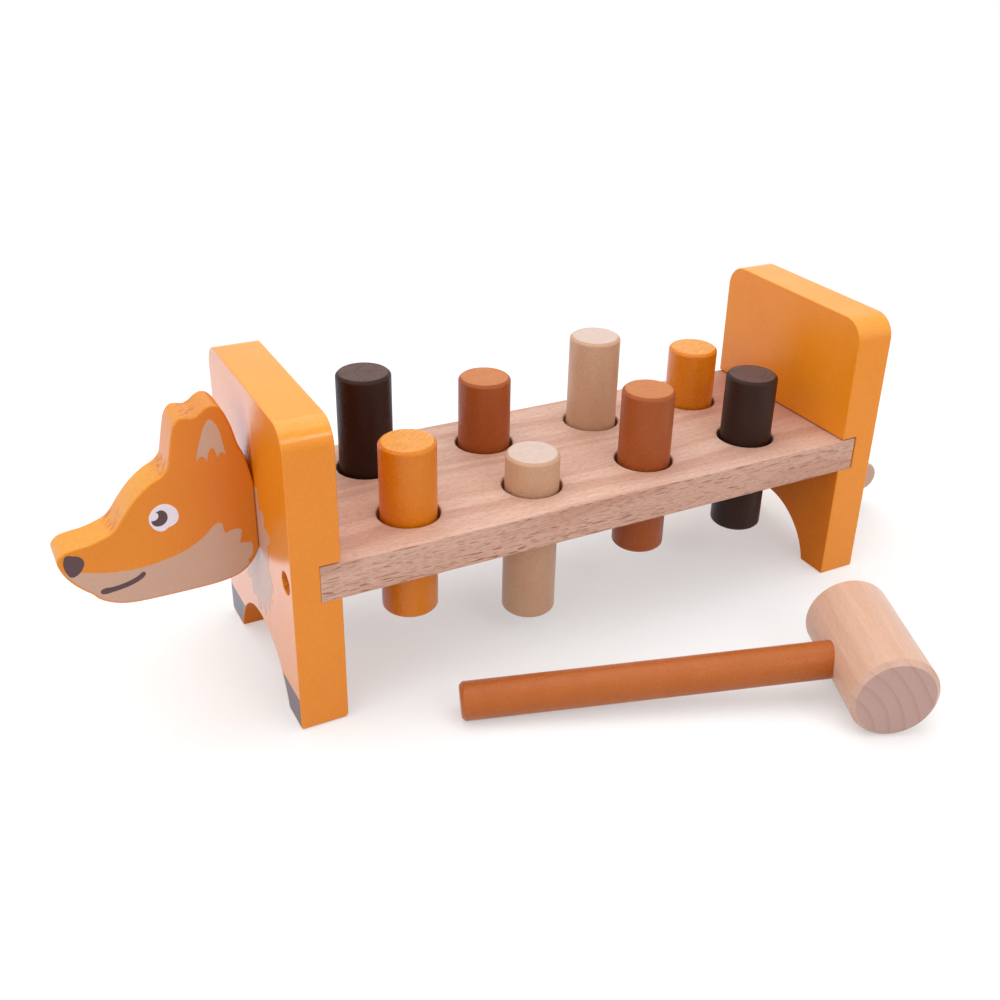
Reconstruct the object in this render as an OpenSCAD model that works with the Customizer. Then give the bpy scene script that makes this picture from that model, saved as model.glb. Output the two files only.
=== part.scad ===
// Peg pounding bench with a fox's head and tail, eight pegs and a mallet.
// The origin is on the floor under the middle of the bench, with the head towards -X and up along Z.

/* [Bench] */
// Length over both end boards
bench_l = 274; // [260:1:320]
// Width of the end boards and of the plank
bench_w = 92; // [88:1:110]
// Height of the end boards
board_h = 125.5; // [118:0.5:150]
// Thickness of an end board
board_t = 18.7; // [16:0.1:24]
// Radius of an end board's top corners
board_corner_r = 10; // [4:0.5:20]
// Height of the arch between the feet
arch_rise = 25; // [15:1:26]
// Radius of the arch between the feet
arch_r = 32; // [27:0.5:40]

/* [Plank] */
// Thickness of the plank
plank_t = 15; // [13:0.5:20]
// Height of the plank's underside above the floor
plank_low = 54.75; // [48:0.25:60]
// Depth to which each end of the plank is let into its board
dado_depth = 8; // [4:0.5:10]
// Gap over the plank in its grooves
dado_play = 0.4; // [0.1:0.1:1]
// Gap left beyond the plank's tail end
end_play = 0.8; // [0.1:0.1:2]

/* [Pegs] */
// Diameter of a peg
peg_d = 22.5; // [20:0.1:23.5]
// Length of a peg
peg_l = 73.5; // [60:0.5:90]
// Radius of a peg's rounded rims
peg_rim_r = 1.2; // [0.4:0.1:3]
// Distance from an end board's inner face to the nearest pegs
peg_margin = 36.5; // [30:0.5:45]
// Distance from the side of the plank to the middle of a row of pegs
row_inset = 24; // [21:0.5:26]
// Diameter of a peg's hole
hole_d = 25; // [24:0.5:27]
// Width of the chamfer round a hole's rims
hole_chamfer = 0.5; // [0.2:0.1:1.5]
// Gap that a peg keeps to the ground at each end of its travel
travel_gap = 0.5; // [0.1:0.1:2]

/* [Grip rings] */
// Thickness of the rubber of a grip ring
ring_wire_d = 3.2; // [2.8:0.1:4]
// Gap between a grip ring and its peg
ring_peg_gap = 0.05; // [0.01:0.01:0.1]
// Gap between a grip ring and its groove
ring_seat_gap = 0.1; // [0.05:0.05:0.3]

/* [Screws] */
// Diameter of a screw's shank
screw_d = 4; // [3:0.5:5]
// Length of a screw under its head
screw_l = 36; // [25:1:40]
// Diameter of a screw's head
screw_head_d = 7.6; // [6:0.2:8.6]
// Height of a screw's head
screw_head_h = 2.6; // [2:0.2:3.2]
// Length of a screw's point
screw_point_l = 5; // [3:0.5:8]
// Diameter of the recess over a screw's head
recess_d = 9; // [8.8:0.2:12]
// Thickness of the wood left under a screw's head
screw_web = 4.5; // [3:0.5:6]
// Distance from the side of the board to a screw
screw_inset = 7.1; // [6:0.1:8]
// Gap round a screw's shank
screw_fit = 0.1; // [0.05:0.05:0.3]

/* [Dowels] */
// Diameter of a dowel
dowel_d = 6; // [5:0.5:8]
// Length of a dowel
dowel_l = 20; // [16:1:24]
// Length of a dowel that lies in the end board
dowel_bite = 6.5; // [5:0.5:7]
// Gap round a dowel
dowel_fit = 0.05; // [0.05:0.05:0.2]
// Room for glue at each end of a dowel
glue_room = 0.5; // [0.2:0.1:0.8]

/* [Head] */
// Length of the head from the end board to the nose
head_l = 71.4; // [60:0.2:90]
// Height of the head from the jaw to the ear
head_h = 73.2; // [64:0.2:85]
// Thickness of the head
head_t = 15; // [12:0.5:20]
// Height of the jaw above the floor
head_low = 48.5; // [40:0.5:56]

/* [Tail] */
// Reach of the tail beyond its end board
tail_reach = 48.2; // [40:0.2:60]
// Thickness of the tail
tail_t = 15; // [12:0.5:20]
// Height of the middle of the tail's root above the floor
tail_root_z = 64; // [60:1:70]
// Height of the middle of the tail's tip above the floor
tail_tip_z = 20; // [16:1:26]
// Width of the tail's root
tail_root_w = 22; // [18:1:24]
// Width of the tail at its widest
tail_belly_w = 26; // [22:1:30]
// Radius of the tail's tip
tail_tip_r = 7.2; // [5:0.2:9]

/* [Mallet] */
// Diameter of the mallet's head
mallet_d = 35.7; // [32:0.1:44]
// Length of the mallet's head
mallet_l = 58; // [45:1:75]
// Width of the chamfer at each end of the mallet's head
mallet_chamfer = 2; // [0.5:0.1:3]
// Diameter of the handle
handle_d = 15.3; // [12:0.1:18]
// Length of the handle from the axis of the head to its free end
handle_l = 164.6; // [130:0.2:190]
// Width of the chamfer at the handle's ends
handle_chamfer = 1.3; // [0.4:0.1:3]
// Depth of the handle's socket beyond the axis of the head
socket_past = 9; // [4:1:11]
// Gap round the handle in its socket
socket_fit = 0.05; // [0.05:0.05:0.2]
// Direction in which the head of the mallet lies, in degrees from the bench's length
mallet_turn = 67.1; // [50:0.1:85]
// Angle by which the handle stands off square to the head, in degrees
handle_skew = 2.3; // [0:0.1:4]
// Distance from the middle of the bench to the handle's free end, along the bench
handle_end_along = 80; // [60:0.5:100]
// Distance from the side of the bench to the middle of the handle's free end
handle_end_out = 19.2; // [16:0.2:40]

/* [Hidden] */
$fn = 96;

// How far every cut runs past the face that it opens
overrun = 1;

// Paint of the pegs, from the head to the tail
front_paints = ["#F2A33A", "#DFC3A0", "#B5652F", "#3F302B"];
back_paints = ["#3F302B", "#B5652F", "#DFC3A0", "#F2A33A"];
board_paint = "#F0963C";
beech = "#DDB596";
rubber = "#3A3A3C";
steel = "#B8BCC2";

// Rest height of each peg, as a share of its whole travel
front_rest_shares = [0.525, 0.203, 0.555, 0.505];
back_rest_shares = [0.743, 0.52, 0.718, 0.445];

row_count = len(front_rest_shares);
board_x = bench_l / 2;
inner_x = board_x - board_t;
dado_x = inner_x + dado_depth;
plank_l = 2 * dado_x - end_play;
plank_mid_z = plank_low + plank_t / 2;
peg_travel = board_h - 2 * travel_gap - peg_l;
peg_pitch = 2 * (inner_x - peg_margin) / (row_count - 1);
row_y = bench_w / 2 - row_inset;
ring_r = peg_d / 2 + ring_peg_gap + ring_wire_d / 2;
groove_r = ring_r + ring_wire_d / 2 + ring_seat_gap;
groove_h = ring_wire_d + 2 * ring_seat_gap;
recess_depth = board_t - dado_depth - screw_web;
screw_y = bench_w / 2 - screw_inset;

// Outline of the head, from the foot of its rear face round the jaw, nose and ear to the top of that face:
// shares of the head's length in front of the board, and of its height above the jaw
head_outline_shares = [
    [0, 0.165], [0.025, 0.11], [0.075, 0.053], [0.14, 0.02], [0.25, 0.003], [0.42, 0],
    [0.605, 0.002], [0.685, 0.008], [0.745, 0.022], [0.8, 0.047], [0.835, 0.073], [0.86, 0.104],
    [0.895, 0.135], [0.935, 0.177], [0.972, 0.23], [0.995, 0.285], [1, 0.332], [0.965, 0.367],
    [0.912, 0.379], [0.845, 0.386], [0.782, 0.403], [0.728, 0.425], [0.692, 0.461], [0.657, 0.51],
    [0.612, 0.565], [0.565, 0.61], [0.512, 0.648], [0.455, 0.678], [0.424, 0.714], [0.412, 0.762],
    [0.395, 0.845], [0.381, 0.905], [0.363, 0.942], [0.34, 0.96], [0.31, 0.96], [0.275, 0.954],
    [0.248, 0.965], [0.219, 0.987], [0.188, 1], [0.16, 0.995], [0.137, 0.976], [0.115, 0.94],
    [0.087, 0.86], [0.065, 0.772], [0.033, 0.69], [0, 0.535]
];
// Heights of the head's dowels, as shares of its height
head_dowel_shares = [0.24, 0.46];
// Heights of the tail's dowels from the middle of its root, as shares of the root's width
tail_dowel_shares = [-0.28, 0.12];
// Pull of the tail's bend: shares of its reach, and of its drop below the root
tail_bend_shares = [[0.55, -0.03], [0.3, 0.92]];
// Number of steps in each smooth curve
curve_steps = 4;
tail_steps = 20;

tail_root = [0, tail_root_z];
tail_tip = [tail_reach - tail_tip_r, tail_tip_z];
tail_drop = tail_root_z - tail_tip_z;
tail_bend_out = [tail_bend_shares[0][0] * tail_reach, tail_root_z - tail_bend_shares[0][1] * tail_drop];
tail_bend_in = [tail_bend_shares[1][0] * tail_reach, tail_root_z - tail_bend_shares[1][1] * tail_drop];

mallet_r = mallet_d / 2;
handle_r = handle_d / 2;
handle_turn = mallet_turn + 90 + handle_skew;
handle_slope = asin((mallet_r - handle_r) / (handle_l - handle_chamfer));
mallet_x = -handle_end_along - handle_l * cos(handle_slope) * cos(handle_turn);
mallet_y = -bench_w / 2 - handle_end_out - handle_l * cos(handle_slope) * sin(handle_turn);

// Point of a smooth curve through b and c, where a and d are the points before and after them
function between(a, b, c, d, t) =
    0.5 * (2 * b + (c - a) * t + (2 * a - 5 * b + 4 * c - d) * t * t + (3 * b - a - 3 * c + d) * t * t * t);

// Smooth open curve through a list of points
function smooth(points) = [
    for (i = [0 : len(points) - 2])
        for (k = [0 : curve_steps - 1])
            between(points[max(i - 1, 0)], points[i], points[i + 1],
                    points[min(i + 2, len(points) - 1)], k / curve_steps),
    points[len(points) - 1]
];

// Middle line of the tail and its direction, for t from 0 at the root to 1 at the tip
function tail_point(t) =
    pow(1 - t, 3) * tail_root + 3 * pow(1 - t, 2) * t * tail_bend_out
    + 3 * (1 - t) * t * t * tail_bend_in + pow(t, 3) * tail_tip;
function tail_way(t) =
    3 * pow(1 - t, 2) * (tail_bend_out - tail_root) + 6 * (1 - t) * t * (tail_bend_in - tail_bend_out)
    + 3 * t * t * (tail_tip - tail_bend_in);
function tail_half(t) =
    (1 - t) * tail_root_w / 2 + t * tail_tip_r
    + sin(180 * t) * (tail_belly_w - tail_root_w / 2 - tail_tip_r) / 2;
function tail_side(t, side) =
    let (way = tail_way(t) / norm(tail_way(t)))
    tail_point(t) + side * tail_half(t) * [-way[1], way[0]];
function tail_end(a) =
    let (way = tail_way(1) / norm(tail_way(1)))
    tail_tip + tail_tip_r * (sin(a) * way + cos(a) * [-way[1], way[0]]);

function peg_x(i) = (i - (row_count - 1) / 2) * peg_pitch;
function rest_share(side, i) = side < 0 ? front_rest_shares[i] : back_rest_shares[i];

// Front of an end board or of the arch, drawn across the bench and up
module board_outline() {
    round_y = bench_w / 2 - board_corner_r;
    difference() {
        union() {
            translate([-bench_w / 2, 0]) square([bench_w, board_h - board_corner_r]);
            translate([-round_y, 0]) square([2 * round_y, board_h]);
            for (side = [-1, 1])
                translate([side * round_y, board_h - board_corner_r]) circle(r = board_corner_r);
        }
        translate([0, arch_rise - arch_r]) circle(r = arch_r);
    }
}

// End board at the tail, with the groove for the plank on its inner face.
// dowel_heights are the heights of the dowel holes in its outer face.
module end_board(dowel_heights) {
    difference() {
        translate([inner_x, 0, 0]) rotate([90, 0, 90]) linear_extrude(board_t) board_outline();
        translate([inner_x - overrun, -bench_w / 2 - overrun, plank_low])
            cube([dado_depth + overrun, bench_w + 2 * overrun, plank_t + dado_play]);
        for (side = [-1, 1])
            translate([dado_x, side * screw_y, plank_mid_z]) rotate([0, 90, 0]) {
                translate([0, 0, -overrun]) cylinder(r = screw_d / 2 + screw_fit, h = board_t + overrun);
                translate([0, 0, screw_web]) cylinder(d = recess_d, h = recess_depth + overrun);
            }
        for (z = dowel_heights)
            translate([board_x - dowel_bite - glue_room, 0, z]) rotate([0, 90, 0])
                cylinder(r = dowel_d / 2 + dowel_fit, h = dowel_bite + glue_room + overrun);
    }
}

function head_dowel_heights() = [for (s = head_dowel_shares) head_low + s * head_h];
function tail_dowel_heights() = [for (s = tail_dowel_shares) tail_root_z + s * tail_root_w];

module head_end_board() {
    color(board_paint) mirror([1, 0, 0]) end_board(head_dowel_heights());
}

module tail_end_board() {
    color(board_paint) end_board(tail_dowel_heights());
}

// One hole for a peg, with its chamfered rims and the groove for the grip ring
module peg_hole() {
    translate([0, 0, -overrun]) cylinder(d = hole_d, h = plank_t + 2 * overrun);
    translate([0, 0, (plank_t - groove_h) / 2]) cylinder(r = groove_r, h = groove_h);
    for (upper = [0, 1])
        translate([0, 0, upper * plank_t]) mirror([0, 0, upper])
            rotate_extrude()
                polygon([[0, -overrun], [hole_d / 2 + hole_chamfer, -overrun],
                         [hole_d / 2 + hole_chamfer, 0], [hole_d / 2, hole_chamfer], [0, hole_chamfer]]);
}

module bench_plank() {
    color(beech) difference() {
        translate([-dado_x, -bench_w / 2, plank_low]) cube([plank_l, bench_w, plank_t]);
        for (side = [-1, 1], i = [0 : row_count - 1])
            translate([peg_x(i), side * row_y, plank_low]) peg_hole();
        for (end = [-1, 1], side = [-1, 1])
            translate([end * (dado_x + overrun), side * screw_y, plank_mid_z]) rotate([0, -90 * end, 0])
                cylinder(r = screw_d / 2 + screw_fit, h = screw_l - screw_web + overrun);
    }
}

// Round bar standing on the ground, with rounded rims
module round_bar(r, h, rim_r) {
    rotate_extrude() {
        difference() {
            square([r, h]);
            for (upper = [0, 1])
                translate([0, upper * h]) mirror([0, upper])
                    translate([r - rim_r, 0]) square(rim_r);
        }
        for (z = [rim_r, h - rim_r])
            translate([r - rim_r, z]) intersection() {
                circle(r = rim_r);
                translate([0, -rim_r]) square([rim_r, 2 * rim_r]);
            }
    }
}

module peg(side, i) {
    rest_z = travel_gap + rest_share(side, i) * peg_travel;
    color(side < 0 ? front_paints[i] : back_paints[i])
        translate([peg_x(i), side * row_y, rest_z]) round_bar(peg_d / 2, peg_l, peg_rim_r);
}

module grip_ring(side, i) {
    color(rubber) translate([peg_x(i), side * row_y, plank_mid_z])
        rotate_extrude() translate([ring_r, 0]) circle(d = ring_wire_d);
}

// Screw along +X whose head starts at the origin, with a cross in the head
module screw() {
    cross_w = screw_head_d / 6;
    cross_l = screw_head_d * 0.6;
    cross_depth = screw_head_h / 2;
    rotate([0, 90, 0]) {
        difference() {
            translate([0, 0, -screw_head_h]) cylinder(d = screw_head_d, h = screw_head_h);
            for (turn = [0, 90])
                rotate([0, 0, turn]) translate([-cross_l / 2, -cross_w / 2, -screw_head_h - overrun])
                    cube([cross_l, cross_w, cross_depth + overrun]);
        }
        cylinder(d = screw_d, h = screw_l - screw_point_l);
        translate([0, 0, screw_l - screw_point_l]) cylinder(d1 = screw_d, d2 = 0, h = screw_point_l);
    }
}

module board_screws() {
    color(steel) for (end = [0, 1], side = [-1, 1])
        mirror([end, 0, 0]) translate([-dado_x - screw_web, side * screw_y, plank_mid_z]) screw();
}

// Dowels along X, from inside the board at the given end to inside the piece that it carries
module dowels(end, heights) {
    for (z = heights)
        translate([end * (board_x - dowel_bite), 0, z]) rotate([0, 90 * end, 0])
            cylinder(d = dowel_d, h = dowel_l);
}

module dowel_holes(end, heights) {
    for (z = heights)
        translate([end * (board_x - overrun), 0, z]) rotate([0, 90 * end, 0])
            cylinder(r = dowel_d / 2 + dowel_fit, h = dowel_l - dowel_bite + glue_room + overrun);
}

module head_dowels() {
    color(beech) dowels(-1, head_dowel_heights());
}

module tail_dowels() {
    color(beech) dowels(1, tail_dowel_heights());
}

module fox_head() {
    points = [for (p = head_outline_shares) [-board_x - p[0] * head_l, head_low + p[1] * head_h]];
    color(board_paint) difference() {
        translate([0, head_t / 2, 0]) rotate([90, 0, 0]) linear_extrude(head_t) polygon(smooth(points));
        dowel_holes(-1, head_dowel_heights());
    }
}

module fox_tail() {
    outline = concat(
        [for (k = [0 : tail_steps]) tail_side(k / tail_steps, 1)],
        [for (k = [1 : tail_steps - 1]) tail_end(180 * k / tail_steps)],
        [for (k = [tail_steps : -1 : 0]) tail_side(k / tail_steps, -1)]
    );
    color(board_paint) difference() {
        intersection() {
            translate([board_x, tail_t / 2, 0]) rotate([90, 0, 0]) linear_extrude(tail_t) polygon(outline);
            translate([board_x, -tail_t, 0]) cube([tail_reach, 2 * tail_t, board_h]);
        }
        dowel_holes(1, tail_dowel_heights());
    }
}

// Round bar standing on the ground, with chamfered rims
module chamfered_bar(r, h, chamfer) {
    rotate_extrude()
        polygon([[0, 0], [r - chamfer, 0], [r, chamfer], [r, h - chamfer], [r - chamfer, h], [0, h]]);
}

// Handle with its axis along +X from the middle of the mallet's head, sloping to the floor
module handle_place() {
    translate([mallet_x, mallet_y, mallet_r]) rotate([0, 0, handle_turn]) rotate([0, 90 + handle_slope, 0])
        children();
}

module mallet_head() {
    color(beech) difference() {
        translate([mallet_x, mallet_y, mallet_r]) rotate([0, 0, mallet_turn]) rotate([0, 90, 0])
            translate([0, 0, -mallet_l / 2]) chamfered_bar(mallet_r, mallet_l, mallet_chamfer);
        handle_place() translate([0, 0, -socket_past - glue_room])
            cylinder(r = handle_r + socket_fit, h = socket_past + glue_room + mallet_d);
    }
}

module mallet_handle() {
    color(front_paints[2]) handle_place() translate([0, 0, -socket_past])
        chamfered_bar(handle_r, handle_l + socket_past, handle_chamfer);
}

bench_plank();
head_end_board();
tail_end_board();
fox_head();
fox_tail();
peg(-1, 0);  // peg_front_1
peg(-1, 1);  // peg_front_2
peg(-1, 2);  // peg_front_3
peg(-1, 3);  // peg_front_4
peg(1, 0);  // peg_back_1
peg(1, 1);  // peg_back_2
peg(1, 2);  // peg_back_3
peg(1, 3);  // peg_back_4
grip_ring(-1, 0);  // grip_ring_front_1
grip_ring(-1, 1);  // grip_ring_front_2
grip_ring(-1, 2);  // grip_ring_front_3
grip_ring(-1, 3);  // grip_ring_front_4
grip_ring(1, 0);  // grip_ring_back_1
grip_ring(1, 1);  // grip_ring_back_2
grip_ring(1, 2);  // grip_ring_back_3
grip_ring(1, 3);  // grip_ring_back_4
board_screws();
head_dowels();
tail_dowels();
mallet_head();
mallet_handle();
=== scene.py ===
"""Peg pounding bench with a fox's head and tail, eight pegs and a mallet.

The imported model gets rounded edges, paint, wood grain and printed details here. Lengths are in metres,
in the model's frame: X along the bench from the head to the tail, Y across it away from the mallet, Z up.
Sizes of patterns and points of printed outlines are in millimetres.
"""
import logging
import math
from collections.abc import Callable, Iterable
from dataclasses import dataclass, field
from enum import Enum
from functools import cache
from typing import NamedTuple

import bmesh
import bpy
from mathutils import Matrix, Vector


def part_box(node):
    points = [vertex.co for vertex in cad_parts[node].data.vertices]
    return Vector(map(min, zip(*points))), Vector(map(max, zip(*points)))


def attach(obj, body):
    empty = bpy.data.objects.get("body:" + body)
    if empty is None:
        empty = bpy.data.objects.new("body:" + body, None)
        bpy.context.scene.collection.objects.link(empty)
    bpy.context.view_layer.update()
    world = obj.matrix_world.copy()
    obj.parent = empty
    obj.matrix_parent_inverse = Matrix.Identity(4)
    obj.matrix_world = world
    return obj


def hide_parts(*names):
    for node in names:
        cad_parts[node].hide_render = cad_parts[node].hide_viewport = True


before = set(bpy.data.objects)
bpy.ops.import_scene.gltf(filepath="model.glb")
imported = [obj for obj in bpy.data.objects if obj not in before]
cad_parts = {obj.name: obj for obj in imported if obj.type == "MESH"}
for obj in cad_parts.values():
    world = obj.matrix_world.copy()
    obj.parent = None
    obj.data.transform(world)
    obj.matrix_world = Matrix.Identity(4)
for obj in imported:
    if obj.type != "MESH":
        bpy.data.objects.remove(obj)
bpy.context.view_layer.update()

LOG = logging.getLogger("pounding_bench")
MM = 0.001
X, Y, Z = 0, 1, 2
ALONG, ACROSS, UP = Vector((1, 0, 0)), Vector((0, 1, 0)), Vector((0, 0, 1))

# Vertices closer than this are one vertex, and a face or edge this near a plane lies in it
TOUCH = 0.01 * MM
# Faces that turn less than this are one flat face, and edges that turn more than this are sharp
FLAT_TURN = math.radians(0.3)
SHARP_TURN = math.radians(28)
SMOOTH_TURN = math.radians(35)

# Masks of faces by the angle to a direction: the cosines at which they are 0 and 1
WOOD_END = (0.55, 0.97)
WOOD_SIDE = (0.3, 0.9)
PEG_END = (0.85, 0.97)
SAWN_EDGE = (0.75, 0.2)
GRADUAL = (0.0, 1.0)

# Sockets of a colour Mix node, whose names repeat
MIX_A, MIX_B, MIX_RESULT = 6, 7, 2

Socket = bpy.types.NodeSocket
Triple = tuple[float, float, float]


class End(Enum):
    """An end of the bench."""

    HEAD = "head"
    TAIL = "tail"


class Row(Enum):
    """A row of pegs."""

    FRONT = "front"
    BACK = "back"


class Side(Enum):
    """A side face of the flat head: near is towards the mallet."""

    NEAR = "near"
    FAR = "far"

    @property
    def sign(self) -> int:
        """Direction of this side along Y."""
        return -1 if self is Side.NEAR else 1


class Cut(Enum):
    """What a cut leaves: the part outside the tool or the part inside it."""

    OUTSIDE = "DIFFERENCE"
    INSIDE = "INTERSECT"


def linear(code: str) -> tuple[float, float, float, float]:
    """Turn an sRGB hex colour into the linear colour that Blender takes.

    Args:
        code: colour such as "#E98B1B".

    Returns:
        Red, green, blue and an alpha of 1.
    """
    channels = [int(code[start:start + 2], 16) / 255 for start in (1, 3, 5)]
    red, green, blue = [c / 12.92 if c <= 0.04045 else ((c + 0.055) / 1.055) ** 2.4 for c in channels]
    return red, green, blue, 1.0


def add_node(tree: bpy.types.NodeTree, kind: str,
             inputs: dict[str | int, Socket | float | tuple[float, ...]] | None = None,
             **settings: object) -> bpy.types.Node:
    """Add a shader node with its settings, values and links.

    Args:
        tree: node tree that gets the node.
        kind: Blender's name of the node type.
        inputs: value of each named or numbered input, or the output that is linked to it.
        settings: attributes of the node itself.

    Returns:
        The new node.
    """
    node = tree.nodes.new(kind)
    for name, value in settings.items():
        setattr(node, name, value)
    for key, value in (inputs or {}).items():
        if isinstance(value, Socket):
            tree.links.new(value, node.inputs[key])
        else:
            node.inputs[key].default_value = value
    return node


def empty_tree(owner: bpy.types.Material | bpy.types.World) -> bpy.types.NodeTree:
    """Give a material or the world an empty node tree."""
    owner.use_nodes = True
    owner.node_tree.nodes.clear()
    return owner.node_tree


@dataclass(frozen=True)
class Streaks:
    """Noise with cells of a real size, drawn out where one side of a cell is long.

    Args:
        cell: size of a cell along each axis of the pattern, in millimetres.
        centre: point of the object that the pattern starts from, in millimetres.
        turn: rotation of the pattern's axes, in degrees.
        detail: finer layers of noise on top of the first.
        falloff: strength of each finer layer, as a share of the one before.
        low: noise value that becomes 0.
        high: noise value that becomes 1.
    """

    cell: Triple
    centre: Triple = (0, 0, 0)
    turn: Triple = (0, 0, 0)
    detail: float = 2.0
    falloff: float = 0.55
    low: float = 0.3
    high: float = 0.7

    def place(self, tree: bpy.types.NodeTree) -> Socket:
        """Add the pattern's own coordinates, counted in cells."""
        spot = add_node(tree, "ShaderNodeTexCoord")
        return add_node(tree, "ShaderNodeMapping", {
            "Vector": spot.outputs["Object"], "Location": tuple(place * MM for place in self.centre),
            "Rotation": tuple(map(math.radians, self.turn)), "Scale": tuple(side * MM for side in self.cell),
        }, vector_type="TEXTURE").outputs["Vector"]

    def add(self, tree: bpy.types.NodeTree) -> Socket:
        """Add the noise and return its value, from 0 to 1."""
        noise = add_node(tree, "ShaderNodeTexNoise", {
            "Vector": self.place(tree), "Scale": 1.0, "Detail": self.detail, "Roughness": self.falloff,
        })
        return add_node(tree, "ShaderNodeMapRange", {
            "Value": noise.outputs["Fac"], "From Min": self.low, "From Max": self.high,
        }, interpolation_type="SMOOTHSTEP").outputs["Result"]


@dataclass
class Coat:
    """A material in the making.

    Args:
        shader: its shader.
        colour: the colour that its patterns have reached.
    """

    shader: bpy.types.Node
    colour: Socket | tuple[float, ...]

    @property
    def tree(self) -> bpy.types.NodeTree:
        """Node tree of the material."""
        return self.shader.id_data

    def tint(self, amount: Socket, colour: str, strength: float = 1.0) -> None:
        """Mix another colour in by a pattern.

        Args:
            amount: pattern, where 1 shows the other colour.
            colour: sRGB hex code of that colour.
            strength: share of it at most.
        """
        share = add_node(self.tree, "ShaderNodeMath", {0: amount, 1: strength}, operation="MULTIPLY")
        mixed = add_node(self.tree, "ShaderNodeMix", {
            "Factor": share.outputs["Value"], MIX_A: self.colour, MIX_B: linear(colour),
        }, data_type="RGBA")
        self.colour = mixed.outputs[MIX_RESULT]
        self.tree.links.new(self.colour, self.shader.inputs["Base Color"])

    def emboss(self, height: Socket, depth: float) -> None:
        """Give the surface a bump whose highest point is depth above its lowest."""
        bump = add_node(self.tree, "ShaderNodeBump", {"Height": height, "Distance": depth, "Strength": 1.0})
        self.tree.links.new(bump.outputs["Normal"], self.shader.inputs["Normal"])

    def dull(self, pattern: Socket, spread: float) -> None:
        """Let the roughness rise by spread where the pattern is 1."""
        even = self.shader.inputs["Roughness"].default_value
        rough = add_node(self.tree, "ShaderNodeMapRange", {
            "Value": pattern, "To Min": even, "To Max": even + spread,
        })
        self.tree.links.new(rough.outputs["Result"], self.shader.inputs["Roughness"])

    def facing(self, direction: Vector, low: float, high: float) -> Socket:
        """Add a mask of the faces that look along a direction, either way.

        Args:
            direction: direction that they look along.
            low: cosine of the angle to it at which the mask is 0.
            high: cosine of the angle at which it is 1.

        Returns:
            The mask.
        """
        spot = add_node(self.tree, "ShaderNodeTexCoord")
        along = add_node(self.tree, "ShaderNodeVectorMath", {
            0: spot.outputs["Normal"], 1: tuple(direction),
        }, operation="DOT_PRODUCT")
        size = add_node(self.tree, "ShaderNodeMath", {0: along.outputs["Value"]}, operation="ABSOLUTE")
        return add_node(self.tree, "ShaderNodeMapRange", {
            "Value": size.outputs["Value"], "From Min": low, "From Max": high,
        }).outputs["Result"]

    def patch(self, centre: Triple, reach: Triple, core: float) -> Socket:
        """Add a soft patch, 1 in its middle and 0 from its reach on.

        Args:
            centre: middle of the patch, in millimetres.
            reach: reach along each axis, in millimetres.
            core: share of the reach within which it is 1.

        Returns:
            The patch's mask.
        """
        away = add_node(self.tree, "ShaderNodeVectorMath", {
            0: Streaks(reach, centre).place(self.tree),
        }, operation="LENGTH")
        return add_node(self.tree, "ShaderNodeMapRange", {
            "Value": away.outputs["Value"], "From Min": core, "From Max": 1.0, "To Min": 1.0, "To Max": 0.0,
        }, interpolation_type="SMOOTHSTEP").outputs["Result"]


@dataclass(frozen=True)
class Finish:
    """A surface: its name, its slot in the record, its colour and its gloss.

    Args:
        name: name of the material.
        slot: material slot of the record.
        colour: sRGB hex colour.
        roughness: roughness of the surface's gloss.
        ior: index of refraction.
        metallic: 1 for a metal.
        depth: height of its relief.
        spread: how much its roughness rises in places.
    """

    name: str
    slot: str
    colour: str
    roughness: float = 0.4
    ior: float = 1.5
    metallic: float = 0.0
    depth: float = 0.0
    spread: float = 0.0

    def material(self) -> bpy.types.Material:
        """Make the finish's material, or return it if it is already made."""
        made = bpy.data.materials.get(self.name)
        if made is None:
            made = bpy.data.materials.new(self.name)
            made.diffuse_color = linear(self.colour)
            tree = empty_tree(made)
            shader = add_node(tree, "ShaderNodeBsdfPrincipled", {
                "Base Color": linear(self.colour), "Roughness": self.roughness, "IOR": self.ior,
                "Metallic": self.metallic,
            })
            add_node(tree, "ShaderNodeOutputMaterial", {"Surface": shader.outputs["BSDF"]})
            self.dress(Coat(shader, linear(self.colour)))
        return made

    def dress(self, coat: Coat) -> None:
        """Add the finish's patterns."""


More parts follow.
